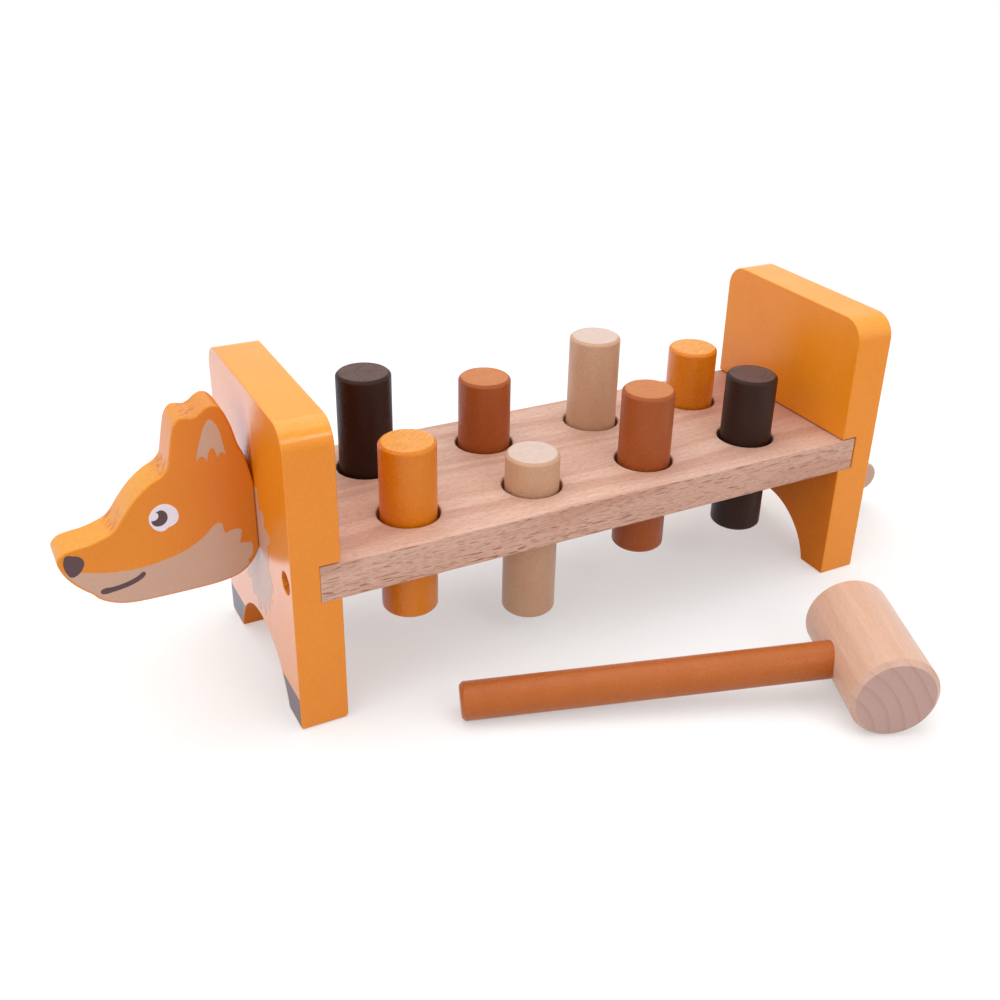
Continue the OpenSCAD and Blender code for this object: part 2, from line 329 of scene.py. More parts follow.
@dataclass(frozen=True)
class Lacquer(Finish):
    """Sprayed semi-gloss lacquer over sanded wood.

    The eye gets a clear mirror at a low angle, slightly drawn out along the grain, and paler tops as painted
    light.

    Args:
        shadow: colour of the thinner spots and of the fine specks.
        painted_top_light: paler colour painted on the faces that look up, as painted light from above.
        painted_top_light_from: upward part of a face's direction where that colour starts.
        painted_top_light_at: upward part where it is full.
        peel: height of the orange peel that the spray leaves.
        clouds: the thinner spots.
        specks: the orange peel.
        ripples: the sanding ripples on the faces that look along the bench.
        cloud_strength: how clearly the thinner spots show.
        speck_strength: how clearly the specks show.
    """

    depth: float = 0.03 * MM
    spread: float = 0.05
    shadow: str = "#000000"
    painted_top_light: str = "#000000"
    painted_top_light_from: float = 0.1
    painted_top_light_at: float = 0.8
    peel: float = 0.012 * MM
    clouds: Streaks = Streaks((24, 24, 24))
    specks: Streaks = Streaks((0.95, 0.95, 0.95), detail=1)
    ripples: Streaks = Streaks((6, 1, 30))
    cloud_strength: float = 0.12
    speck_strength: float = 0.22

    def dress(self, coat: Coat) -> None:
        """Add painted light on the faces that look up, soft clouds of colour, ripples along the grain and an
        uneven gloss.
        """
        cloud, speck = self.clouds.add(coat.tree), self.specks.add(coat.tree)
        spot = add_node(coat.tree, "ShaderNodeTexCoord")
        normal = add_node(coat.tree, "ShaderNodeSeparateXYZ", {"Vector": spot.outputs["Normal"]})
        # Painted light: the faces that look up get a paler colour, as if lit from above
        upward = add_node(coat.tree, "ShaderNodeMapRange", {
            "Value": normal.outputs["Z"], "From Min": self.painted_top_light_from, "From Max": self.painted_top_light_at,
        }, interpolation_type="SMOOTHSTEP")
        coat.tint(upward.outputs["Result"], self.painted_top_light)
        coat.tint(cloud, self.shadow, self.cloud_strength)
        coat.tint(speck, self.shadow, self.speck_strength)
        ripples = add_node(coat.tree, "ShaderNodeMath", {
            0: self.ripples.add(coat.tree), 1: coat.facing(ALONG, *GRADUAL),
        }, operation="MULTIPLY")
        height = add_node(coat.tree, "ShaderNodeMath", {
            0: speck, 1: self.peel / self.depth, 2: ripples.outputs["Value"],
        }, operation="MULTIPLY_ADD")
        coat.emboss(height.outputs["Value"], self.depth)
        coat.dull(cloud, self.spread)


class Rub(NamedTuple):
    """A rubbed spot on the head's edge: its place and reach in millimetres, and the streaks' lean from Z."""

    along: float
    up: float
    reach: float
    lean: float


@dataclass(frozen=True)
class RubbedLacquer(Lacquer):
    """The head's lacquer, darker and streaky in the hollows of its sawn edge, where paint gathers.

    Args:
        rubs: the rubbed spots.
        rubbed: colour of the streaks there.
        rub_strength: how clearly the streaks show.
        neck_shade: darker colour painted towards the neck, as painted shade where the head meets the end
            board.
        neck_shade_strength: share of that colour at most.
        neck_shade_from: place along X where it starts.
        neck_shade_at: place along X where it is full.
    """

    rubs: tuple[Rub, ...] = ()
    rubbed: str = "#BE5416"
    rub_strength: float = 0.75
    neck_shade: str = "#000000"
    neck_shade_strength: float = 0.5
    neck_shade_from: float = -178 * MM
    neck_shade_at: float = -140 * MM

    def dress(self, coat: Coat) -> None:
        """Add the lacquer's own patterns and then the painted shade towards the neck and the rubbed streaks.
        """
        super().dress(coat)
        # Painted shade: darker along X towards the end board, full from neck_shade_at on
        spot = add_node(coat.tree, "ShaderNodeTexCoord")
        place = add_node(coat.tree, "ShaderNodeSeparateXYZ", {"Vector": spot.outputs["Object"]})
        towards_neck = add_node(coat.tree, "ShaderNodeMapRange", {
            "Value": place.outputs["X"], "From Min": self.neck_shade_from, "From Max": self.neck_shade_at,
        }, interpolation_type="SMOOTHSTEP")
        coat.tint(towards_neck.outputs["Result"], self.neck_shade, self.neck_shade_strength)
        on_edge = coat.facing(ACROSS, *SAWN_EDGE)
        for rub in self.rubs:
            through_head = 20 * rub.reach
            near = coat.patch((rub.along, 0, rub.up), (rub.reach, through_head, rub.reach), core=0.35)
            streaks = Streaks((1.1, 1, 5), turn=(0, rub.lean, 0), low=0.44, high=0.64).add(coat.tree)
            smear = add_node(coat.tree, "ShaderNodeMath", {0: near, 1: streaks}, operation="MULTIPLY")
            mask = add_node(coat.tree, "ShaderNodeMath", {
                0: smear.outputs["Value"], 1: on_edge,
            }, operation="MULTIPLY")
            coat.tint(mask.outputs["Value"], self.rubbed, self.rub_strength)


@dataclass(frozen=True)
class PegPaint(Finish):
    """Satin paint rolled over a turned dowel.

    The eye gets a soft upright sheen, fine pimples on the side, and the end grain's lines on a top painted
    paler as light.

    Args:
        lines: colour of the end grain's lines and of the pimples' hollows.
        end: paler colour painted on the top end, as painted light from above, or nothing where no end shows.
        line_turn: direction of the end grain's lines, in degrees.
        line_strength: how clearly they show.
        clouds: spots of thinner paint.
        pimples: the roller's marks.
        cloud_strength: how clearly the spots show.
        pimple_strength: how clearly the pimples' hollows show.
    """

    depth: float = 0.09 * MM
    spread: float = 0.08
    lines: str = "#000000"
    end: str = ""
    line_turn: float = 20.0
    line_strength: float = 0.3
    clouds: Streaks = Streaks((7, 7, 16))
    pimples: Streaks = Streaks((0.8, 0.8, 0.8), detail=1)
    cloud_strength: float = 0.12
    pimple_strength: float = 0.2

    def dress(self, coat: Coat) -> None:
        """Add pimples, faint clouds, and the end grain under a top painted paler as painted light."""
        cloud, pimple = self.clouds.add(coat.tree), self.pimples.add(coat.tree)
        coat.tint(cloud, self.lines, self.cloud_strength)
        coat.tint(pimple, self.lines, self.pimple_strength)
        height = pimple
        if self.end:
            # Painted light: the top end is painted paler, as if lit from above
            on_end = coat.facing(UP, *PEG_END)
            coat.tint(on_end, self.end)
            lines = Streaks((5, 0.55, 1000), turn=(0, 0, self.line_turn), low=0.42, high=0.66).add(coat.tree)
            mask = add_node(coat.tree, "ShaderNodeMath", {0: lines, 1: on_end}, operation="MULTIPLY")
            coat.tint(mask.outputs["Value"], self.lines, self.line_strength)
            height = add_node(coat.tree, "ShaderNodeMath", {
                0: pimple, 1: mask.outputs["Value"],
            }, operation="SUBTRACT").outputs["Value"]
        coat.emboss(height, self.depth)
        coat.dull(cloud, self.spread)


@dataclass(frozen=True)
class Wood(Finish):
    """Bare sanded hardwood, cut through by its growth rings.

    The rings are shells round a pith, so they are bands along the side of the wood and arcs on its ends.
    The eye gets soft rosy bands, fine fibres, and thin dark flecks where the rings stand on the surface.

    Args:
        dark: colour of the late wood.
        fleck: colour of the pores and the flecks.
        end_colour: colour of the end grain, whose open fibres drink more varnish.
        pith: a point on the pith's line, in millimetres.
        turn: rotation about Z that brings X to the fibres, in degrees.
        ring: thickness of a year's growth, in millimetres.
        wander: how far the rings stray from true circles, in years.
        band_strength: how dark the late wood is.
        fibre_strength: how dark the fibres are.
        pore_strength: how dark the pores are.
        fleck_strength: how dark the flecks are.
        side_strength: how much darker the faces beside the fibres are, where the rings stand upright.
        board_shade: darker, redder colour painted as shade and orange bounce where a board meets the wood.
        board_shade_strength: share of that colour at most.
        board_shade_spot: middle of the painted patch, in millimetres.
        board_shade_reach: distance from there to where it has faded out, in millimetres.
    """

    depth: float = 0.012 * MM
    spread: float = 0.1
    dark: str = "#000000"
    fleck: str = "#000000"
    end_colour: str = "#000000"
    pith: Triple = (0, 0, 0)
    turn: float = 0.0
    ring: float = 3.0
    wander: float = 1.2
    band_strength: float = 0.4
    fibre_strength: float = 0.3
    pore_strength: float = 0.21
    fleck_strength: float = 0.8
    side_strength: float = 0.0
    board_shade: str = "#000000"
    board_shade_strength: float = 0.0
    board_shade_spot: Triple = (0, 0, 0)
    board_shade_reach: float = 1.0

    def dress(self, coat: Coat) -> None:
        """Add end grain, rings, the painted board shade, fibres, pores and flecks."""
        fibres = self.lengthways((14, 0.85, 0.85), low=0.36, high=0.64).add(coat.tree)
        pores = self.lengthways((2.4, 0.55, 0.55), detail=0, low=0.5, high=0.68).add(coat.tree)
        coat.tint(self.on_end(coat), self.end_colour)
        coat.tint(self.bands(coat, self.years(coat)), self.dark, self.band_strength)
        coat.tint(self.on_side(coat), self.dark, self.side_strength)
        # Painted shade and painted orange bounce: a darker, redder patch where the plank meets the tail board
        board_shade = coat.patch(self.board_shade_spot, (self.board_shade_reach,) * 3, core=0.25)
        coat.tint(board_shade, self.board_shade, self.board_shade_strength)
        coat.tint(fibres, self.dark, self.fibre_strength)
        coat.tint(pores, self.fleck, self.pore_strength)
        coat.tint(self.flecks(coat), self.fleck, self.fleck_strength)
        coat.emboss(fibres, self.depth)
        coat.dull(fibres, self.spread)

    def lengthways(self, cell: Triple, **settings: object) -> Streaks:
        """Streaks whose first side runs along the fibres."""
        return Streaks(cell, turn=(0, 0, self.turn), **settings)

    def years(self, coat: Coat) -> Socket:
        """Add the number of years between a point and the pith."""
        endless = 1e6
        shells = self.lengthways((endless, self.ring, self.ring), centre=self.pith).place(coat.tree)
        away = add_node(coat.tree, "ShaderNodeVectorMath", {0: shells}, operation="LENGTH")
        stray = self.lengthways((130, 30, 30), detail=1, low=0.0, high=1.0).add(coat.tree)
        return add_node(coat.tree, "ShaderNodeMath", {
            0: stray, 1: self.wander, 2: away.outputs["Value"],
        }, operation="MULTIPLY_ADD").outputs["Value"]

    def bands(self, coat: Coat, years: Socket) -> Socket:
        """Add the soft bands of good and poor years."""
        growth = add_node(coat.tree, "ShaderNodeTexNoise", {
            "W": years, "Scale": 1.0, "Detail": 1.0, "Roughness": 0.5,
        }, noise_dimensions="1D")
        return add_node(coat.tree, "ShaderNodeMapRange", {
            "Value": growth.outputs["Fac"], "From Min": 0.3, "From Max": 0.72,
        }, interpolation_type="SMOOTHSTEP").outputs["Result"]

    def turned(self, direction: Vector) -> Vector:
        """A direction of the wood, turned with its fibres."""
        return Matrix.Rotation(math.radians(self.turn), 3, "Z") @ direction

    def on_end(self, coat: Coat) -> Socket:
        """Add a mask of the end grain."""
        return coat.facing(self.turned(ALONG), *WOOD_END)

    def on_side(self, coat: Coat) -> Socket:
        """Add a mask of the upright faces beside the fibres."""
        return coat.facing(self.turned(ACROSS), *WOOD_SIDE)

    def flecks(self, coat: Coat) -> Socket:
        """Add the thin dark flecks, which gather in rows on the faces beside the fibres."""
        strokes = self.lengthways((5, 0.42, 0.42), detail=0, low=0.665, high=0.72).add(coat.tree)
        rows = self.lengthways((90, 2.6, 2.6), detail=1, low=0.36, high=0.56).add(coat.tree)
        mask = add_node(coat.tree, "ShaderNodeMath", {0: strokes, 1: rows}, operation="MULTIPLY")
        return add_node(coat.tree, "ShaderNodeMath", {
            0: mask.outputs["Value"], 1: self.on_side(coat),
        }, operation="MULTIPLY").outputs["Value"]


@dataclass(frozen=True)
class TurnedWood(Wood):
    """Even pale hardwood, turned on a lathe.

    The eye gets faint bands along its side and, on its ends, a thin dark arc where each year stopped.

    Args:
        year_end: part of a year's growth at which it is darkest.
        slow_from: part at which its slow darkening starts.
        slow_strength: how dark that gets.
        line_from: part at which its thin last line starts.
        line_strength: how dark the line gets.
    """

    year_end: float = 0.95
    slow_from: float = 0.15
    slow_strength: float = 0.4
    line_from: float = 0.7
    line_strength: float = 1.1

    def bands(self, coat: Coat, years: Socket) -> Socket:
        """Add the slow darkening of each year, and its last line on the end grain."""
        part = add_node(coat.tree, "ShaderNodeMath", {0: years}, operation="FRACT")
        slow, line = [add_node(coat.tree, "ShaderNodeMapRange", {
            "Value": part.outputs["Value"], "From Min": start, "From Max": self.year_end, "To Max": strength,
        }, interpolation_type="SMOOTHSTEP") for start, strength in (
            (self.slow_from, self.slow_strength), (self.line_from, self.line_strength))]
        return add_node(coat.tree, "ShaderNodeMath", {
            0: line.outputs["Result"], 1: self.on_end(coat), 2: slow.outputs["Result"],
        }, operation="MULTIPLY_ADD").outputs["Value"]


@dataclass(frozen=True)
class Mottled(Finish):
    """A finish with one pattern, which shows in its colour and, where they aren't 0, its relief and gloss.

    Args:
        pattern: the pattern.
        second: colour where the pattern is 1.
        strength: share of that colour at most.
    """

    pattern: Streaks = Streaks((1, 1, 1))
    second: str = "#000000"
    strength: float = 0.3

    def dress(self, coat: Coat) -> None:
        """Add the pattern to the colour, the relief and the gloss."""
        pattern = self.pattern.add(coat.tree)
        coat.tint(pattern, self.second, self.strength)
        if self.depth:
            coat.emboss(pattern, self.depth)
        if self.spread:
            coat.dull(pattern, self.spread)


@dataclass(frozen=True)
class Ink(Mottled):
    """Pad-printed ink, a thin satin film. The eye gets a flat colour with a crisp edge and a faint tooth."""

    roughness: float = 0.34
    depth: float = 0.004 * MM
    pattern: Streaks = Streaks((0.9, 0.9, 0.9), detail=1)
    strength: float = 0.12


@dataclass(frozen=True)
class DrilledWood(Mottled):
    """Lacquer soaked into drilled wood. The eye gets a dull rusty colour, mottled with dark pores."""

    roughness: float = 0.8
    depth: float = 0.12 * MM
    pattern: Streaks = Streaks((1.6, 1.6, 1.6), low=0.42, high=0.6)
    strength: float = 0.5


@dataclass(frozen=True)
class Rubber(Mottled):
    """Moulded nitrile rubber. The eye gets a dull black with a dusty bloom."""

    roughness: float = 0.75
    depth: float = 0.01 * MM
    pattern: Streaks = Streaks((1.5, 1.5, 1.5), detail=3)


@dataclass(frozen=True)
class ZincPlate(Mottled):
    """Zinc-plated steel. The eye gets a pale grey metal, uneven where the plating is thin."""

    roughness: float = 0.3
    metallic: float = 1.0
    spread: float = 0.15
    pattern: Streaks = Streaks((1.2, 1.2, 1.2), detail=3)
    strength: float = 0.6


class Knot(NamedTuple):
    """A point of a printed outline in millimetres, where it bends or, at a tip, turns a corner."""

    across: float
    up: float
    is_tip: bool = False


def knots(*points: tuple[float, float], tips: Iterable[int] = ()) -> tuple[Knot, ...]:
    """Make an outline of points, some of which are tips, counted from 0."""
    corners = set(tips)
    return tuple(Knot(across, up, index in corners) for index, (across, up) in enumerate(points))


@cache
def span(node: str) -> tuple[Vector, Vector]:
    """Lowest and highest corner of a CAD node."""
    low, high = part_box(node)
    return Vector(low), Vector(high)


def centre_of(node: str) -> Vector:
    """Middle of a CAD node."""
    low, high = span(node)
    return (low + high) / 2


def middle(edge: bmesh.types.BMEdge) -> Vector:
    """Middle of an edge."""
    return (edge.verts[0].co + edge.verts[1].co) / 2


def lies_at(edge: bmesh.types.BMEdge, axis: int, *places: float) -> bool:
    """Whether both ends of an edge are at one of some places along an axis."""
    return any(all(abs(vert.co[axis] - place) < TOUCH for vert in edge.verts) for place in places)


def node_shell(node: str) -> bmesh.types.BMesh:
    """Copy a CAD node's mesh, with its loose triangles joined into whole faces."""
    shell = bmesh.new()
    shell.from_mesh(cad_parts[node].data)
    bmesh.ops.remove_doubles(shell, verts=shell.verts, dist=TOUCH / 10)
    bmesh.ops.dissolve_limit(shell, angle_limit=FLAT_TURN, verts=shell.verts, edges=shell.edges)
    return shell


def turned_bar(radius: float, length: float, sides: int, place: Matrix,
               chamfer: float = 0) -> bmesh.types.BMesh:
    """Turn a round bar.

    Args:
        radius: radius of the bar.
        length: its length.
        sides: number of faces round it.
        place: brings Z to the bar's axis, from its middle.
        chamfer: width of the chamfers at its ends, or 0 for none.

    Returns:
        The closed bar.
    """
    bar = bmesh.new()
    bmesh.ops.create_cone(bar, cap_ends=True, cap_tris=False, segments=sides, radius1=radius, radius2=radius,
                          depth=length)
    if chamfer:
        rims = [edge for edge in bar.edges if lies_at(edge, Z, -length / 2, length / 2)]
        bmesh.ops.bevel(bar, geom=rims, offset=chamfer, offset_type="OFFSET", affect="EDGES", segments=1,
                        profile=0.5, material=-1)
    bmesh.ops.transform(bar, matrix=place, verts=bar.verts)
    return bar


def linked(name: str, data: bpy.types.ID) -> bpy.types.Object:
    """Make an object of its data and link it to the scene."""
    made = bpy.data.objects.new(name, data)
    bpy.context.scene.collection.objects.link(made)
    return made


def new_object(name: str, shell: bmesh.types.BMesh) -> bpy.types.Object:
    """Make an object of a shell, which is used up."""
    mesh = bpy.data.meshes.new(name)
    shell.to_mesh(mesh)
    shell.free()
    return linked(name, mesh)


def settled_mesh(shown: bpy.types.Object) -> bpy.types.Mesh:
    """Mesh of an object with its modifiers applied."""
    bpy.context.view_layer.update()
    return bpy.data.meshes.new_from_object(shown.evaluated_get(bpy.context.evaluated_depsgraph_get()))


def cut_mesh(shown: bpy.types.Object, tool: bpy.types.Object, cut: Cut) -> bpy.types.Mesh:
    """Mesh that a cut by another object leaves of an object."""
    blade = shown.modifiers.new("Cut", "BOOLEAN")
    blade.operation = cut.value
    blade.solver = "EXACT"
    blade.object = tool
    mesh = settled_mesh(shown)
    shown.modifiers.remove(blade)
    return mesh


def register(piece: bpy.types.Object, body: str, finish: Finish, *nodes: str) -> None:
    """Give a piece its body, its finish and the CAD nodes that it stands for, and report it.

    Args:
        piece: object whose mesh is in its place.
        body: CAD body that it moves with.
        finish: surface of the piece.
        nodes: CAD nodes that it replaces.
    """
    piece.data.materials.clear()
    piece.data.materials.append(finish.material())
    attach(piece, body)
    if nodes:
        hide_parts(*nodes)
    LOG.info("%s: %s on %s, %d faces", piece.name, finish.name, body, len(piece.data.polygons))


def rounded_object(name: str, shell: bmesh.types.BMesh, radius_of: Callable[[bmesh.types.BMEdge], float],
                   widest: float, segments: int) -> bpy.types.Object:
    """Make an object whose sharp outer edges are rounded, each by its own radius.

    Args:
        name: name of the object.
        shell: closed shell, which is used up.
        radius_of: gives the radius of a sharp edge, or 0 where it stays sharp.
        widest: the largest radius.
        segments: number of faces across a rounding.

    Returns:
        The object, with its rounding as a modifier.
    """
    weight = shell.edges.layers.float.new("bevel_weight_edge")
    for edge in shell.edges:
        if edge.is_manifold and edge.is_convex and edge.calc_face_angle() > SHARP_TURN:
            edge[weight] = radius_of(edge) / widest
    for face in shell.faces:
        face.smooth = True
    made = new_object(name, shell)
    made.data.set_sharp_from_angle(angle=SMOOTH_TURN)
    rounding = made.modifiers.new("Rounded edges", "BEVEL")
    rounding.width = widest
    rounding.segments = segments
    rounding.limit_method = "WEIGHT"
    rounding.use_clamp_overlap = False
    rounding.harden_normals = True
    return made


def sawn_object(name: str, shell: bmesh.types.BMesh, radius: float, segments: int = 6) -> bpy.types.Object:
    """Make an object of a flat sawn shape, which is rounded round its two side faces and nowhere else.

    Args:
        name: name of the object.
        shell: closed shell of a shape that stands along the bench, which is used up.
        radius: radius of the rounding.
        segments: number of faces across it.

    Returns:
        The object, with its rounding as a modifier.
    """
    places = [vert.co.y for vert in shell.verts]
    low, high = min(places), max(places)
    return rounded_object(name, shell, lambda edge: radius if lies_at(edge, Y, low, high) else 0, radius,
                          segments)


@dataclass
class EndBoard:
    """An upright board at one end of the bench, with an arch between its feet and a groove for the plank.

    Args:
        end: end of the bench that it stands at.
        finish: its lacquer.
        drilled: finish inside its screw holes.
        sawn: darker finish of its arch and of the inner face under the plank, painted shade under the plank.
        outline_radius: rounding round both faces.
        groove_radius: rounding of the groove's mouth.
        lip_radius: rounding of the edge over the groove.
        foot_radius: rounding of the inner edges of its soles.
        sole_radius: rounding of the other edges of its soles.
        recess_radius: rounding of the screw holes' rims.
        groove_play: play of the plank in the groove.
        screw_reach: distance round a screw's axis that is its recess.
        screw_inset: distance of the screws from the board's sides.
        dowel_reach: distance from the middle of the outer face within which its dowel holes are.
        dowel_low: height over which they are.
        dowel_drop: distance from the board's top under which they are.
        arch_top: least wood between the arch and the groove.
        sole_min: least width of a sole.
        segments: number of faces across a rounding.
    """

    end: End
    finish: Finish
    drilled: Finish
    sawn: Finish
    outline_radius: float = 0.6 * MM
    groove_radius: float = 0.45 * MM
    lip_radius: float = 0.4 * MM
    foot_radius: float = 0.6 * MM
    sole_radius: float = 0.6 * MM
    recess_radius: float = 0.3 * MM
    groove_play: float = 0.4 * MM
    screw_reach: float = 6 * MM
    screw_inset: float = 7.1 * MM
    dowel_reach: float = 4 * MM
    dowel_low: float = 30 * MM
    dowel_drop: float = 10 * MM
    arch_top: float = 5 * MM
    sole_min: float = 5 * MM
    segments: int = 4

    def __post_init__(self) -> None:
        """Take the board's places from the frame."""
        low, high = span(self.node)
        plank_low, plank_high = span("bench_plank")
        self.outer_x, self.inner_x = (low.x, high.x) if self.end is End.HEAD else (high.x, low.x)
        self.side_y, self.top_z = high.y, high.z
        self.groove_low, self.groove_high = plank_low.z, plank_high.z + self.groove_play
        self.screw_z = centre_of("bench_plank").z

    @property
    def node(self) -> str:
        """Name of the board's CAD node."""
        return f"{self.end.value}_end_board"

    def is_recess(self, spot: Vector) -> bool:
        """Whether a point is in a screw hole or on its rim."""
        from_axis = abs(spot.y) - (self.side_y - self.screw_inset)
        return math.hypot(from_axis, spot.z - self.screw_z) < self.screw_reach

    def is_dowel_rim(self, spot: Vector) -> bool:
        """Whether a point of the outer face is on a dowel hole's rim."""
        return abs(spot.y) < self.dowel_reach and self.dowel_low < spot.z < self.top_z - self.dowel_drop

    def is_arch(self, spot: Vector) -> bool:
        """Whether a point of the board's edge is in the arch between its feet."""
        return TOUCH < spot.z < self.groove_low - self.arch_top and abs(spot.y) < self.side_y - self.sole_min

    def is_under_plank(self, spot: Vector) -> bool:
        """Whether a point is on the part of the inner face under the plank."""
        return abs(spot.x - self.inner_x) < TOUCH and spot.z < self.groove_low

    def edge_radius(self, edge: bmesh.types.BMEdge) -> float:
        """Radius of one of the board's sharp edges."""
        mid = middle(edge)
        is_outer, is_inner = lies_at(edge, X, self.outer_x), lies_at(edge, X, self.inner_x)
        if is_outer and self.is_recess(mid):
            return self.recess_radius
        if is_outer and self.is_dowel_rim(mid):
            return 0
        if lies_at(edge, Z, 0):
            return self.foot_radius if is_inner else self.sole_radius
        if is_inner and lies_at(edge, Z, self.groove_high):
            return self.lip_radius
        if not is_outer and self.groove_low - TOUCH < mid.z < self.groove_high + TOUCH:
            return self.groove_radius
        return self.outline_radius

    def build(self) -> bpy.types.Object:
        """Make the board."""
        widest = max(self.outline_radius, self.lip_radius, self.foot_radius)
        board = rounded_object(f"{self.end.value}_board_lacquered", node_shell(self.node), self.edge_radius,
                               widest, self.segments)
        register(board, "bench", self.finish, self.node)
        board.data.materials.append(self.drilled.material())
        board.data.materials.append(self.sawn.material())
        # Painted shade: the arch and the inner face under the plank get the darker finish
        for face in board.data.polygons:
            spot = face.center
            is_sunk = abs(spot.x - self.outer_x) > TOUCH and abs(spot.x - self.inner_x) > TOUCH
            if is_sunk and self.is_recess(spot):
                face.material_index = 1
            elif (is_sunk and self.is_arch(spot)) or self.is_under_plank(spot):
                face.material_index = 2
        return board


@dataclass
class Plank:
    """The drilled plank between the end boards.

    Args:
        finish: its wood.
        side_radius: rounding of its long edges.
        end_radius: rounding of its end edges.
        rim_radius: rounding on both sides of the holes' chamfers.
        segments: number of faces across a rounding.
    """

    finish: Finish
    side_radius: float = 0.8 * MM
    end_radius: float = 0.3 * MM
    rim_radius: float = 0.12 * MM
    segments: int = 4

    def edge_radius(self, edge: bmesh.types.BMEdge) -> float:
        """Radius of one of the plank's sharp edges."""
        low, high = span("bench_plank")
        if lies_at(edge, X, low.x, high.x):
            return self.end_radius
        return self.side_radius if lies_at(edge, Y, low.y, high.y) else self.rim_radius

    def build(self) -> None:
        """Make the plank."""
        plank = rounded_object("plank_sanded", node_shell("bench_plank"), self.edge_radius,
                               self.side_radius, self.segments)
        register(plank, "bench", self.finish, "bench_plank")


@dataclass
class Peg:
    """A painted dowel that slides through its hole in the plank.

    Args:
        row: row that it stands in.
        number: place in the row, from 1 at the head.
        finish: its paint.
        chamfer: width of the turned chamfers at its ends.
        softening: rounding of the chamfers' edges.
        sides: number of faces round it.
        segments: number of faces across a rounding.
    """

    row: Row
    number: int
    finish: Finish
    chamfer: float = 1.2 * MM
    softening: float = 0.45 * MM
    sides: int = 96
    segments: int = 3

    def build(self) -> None:
        """Make the peg."""
        node, body = f"peg_{self.row.value}_{self.number}", f"{self.row.value}_peg_{self.number}"
        size = span(node)[1] - span(node)[0]
        shell = turned_bar(size.x / 2, size.z, self.sides, Matrix.Translation(centre_of(node)), self.chamfer)
        peg = rounded_object(f"{body}_painted", shell, lambda edge: self.softening, self.softening,
                             self.segments)
        register(peg, body, self.finish, node)


@dataclass
class Print:
    """A patch of ink on a flat face of the bench, a thin closed film.

    Args:
        name: what the print shows.
        outline: closed outline in millimetres, across and up from the face's corner.
        finish: its ink.
        layers: number of layers of ink, where it lies on another print.
        layer: thickness of a layer.
        steps: number of segments between two knots.
    """

    name: str
    outline: tuple[Knot, ...]
    finish: Finish
    layers: int = 1
    layer: float = 0.04 * MM
    steps: int = 6

    def shell(self, place: Matrix) -> bmesh.types.BMesh:
        """Make the whole film, before it is cut.

        Args:
            place: brings the outline's plane to the face, with its Z away from the object.

        Returns:
            The closed film.
        """
        thickness = self.layer * self.layers
        curve = bpy.data.curves.new(self.name, "CURVE")
        curve.dimensions = "2D"
        curve.fill_mode = "BOTH"
        curve.extrude = thickness / 2
        curve.resolution_u = self.steps
        spline = curve.splines.new("BEZIER")
        spline.bezier_points.add(len(self.outline) - 1)
        spline.use_cyclic_u = True
        for knot, point in zip(self.outline, spline.bezier_points):
            point.co = (knot.across * MM, knot.up * MM, 0)
            point.handle_left_type = point.handle_right_type = "VECTOR" if knot.is_tip else "AUTO"
        drawn = linked(self.name, curve)
        mesh = settled_mesh(drawn)
        bpy.data.objects.remove(drawn)
        bpy.data.curves.remove(curve)
        film = bmesh.new()
        film.from_mesh(mesh)
        bpy.data.meshes.remove(mesh)
        bmesh.ops.remove_doubles(film, verts=film.verts, dist=TOUCH / 10)
        bmesh.ops.translate(film, verts=film.verts, vec=(0, 0, thickness / 2))
        bmesh.ops.transform(film, matrix=place, verts=film.verts)
        bmesh.ops.recalc_face_normals(film, faces=film.faces)
        return film

    def build(self, place: Matrix, keeper: bpy.types.Object) -> None:
        """Make the print at its place, cut to a keeper's outline."""
        made = new_object(self.name, self.shell(place))
        made.data = cut_mesh(made, keeper, Cut.INSIDE)
        register(made, "bench", self.finish)


def page(corner: Vector, across: Vector, out: Vector) -> Matrix:
    """Bring an outline, drawn across and up from a corner, to an upright face that looks out."""
    return Matrix.Translation(corner) @ Matrix((across, UP, out)).transposed().to_4x4()


def flat_keeper(shown: bpy.types.Object, axis: int, place: float,
                reach: float = 0.16 * MM) -> bpy.types.Object:
    """Make a slab of an object's flat face, which prints are cut to.

    Args:
        shown: object with the face.
        axis: axis that the face looks along.
        place: place of the face on that axis.
        reach: distance by which the slab stands out on both sides, more than the thickest print.

    Returns:
        The slab, a helper that is removed later.
    """
    slab = bmesh.new()
    slab.from_mesh(settled_mesh(shown))
    others = [face for face in slab.faces if any(abs(vert.co[axis] - place) > TOUCH for vert in face.verts)]
    bmesh.ops.delete(slab, geom=others, context="FACES")
    way = Vector((0, 0, 0))
    way[axis] = reach
    bmesh.ops.translate(slab, verts=slab.verts, vec=-way)
    grown = bmesh.ops.extrude_face_region(slab, geom=slab.faces[:], use_keep_orig=True)
    moved = [item for item in grown["geom"] if isinstance(item, bmesh.types.BMVert)]
    bmesh.ops.translate(slab, verts=moved, vec=2 * way)
    bmesh.ops.recalc_face_normals(slab, faces=slab.faces)
    return new_object("print_keeper", slab)


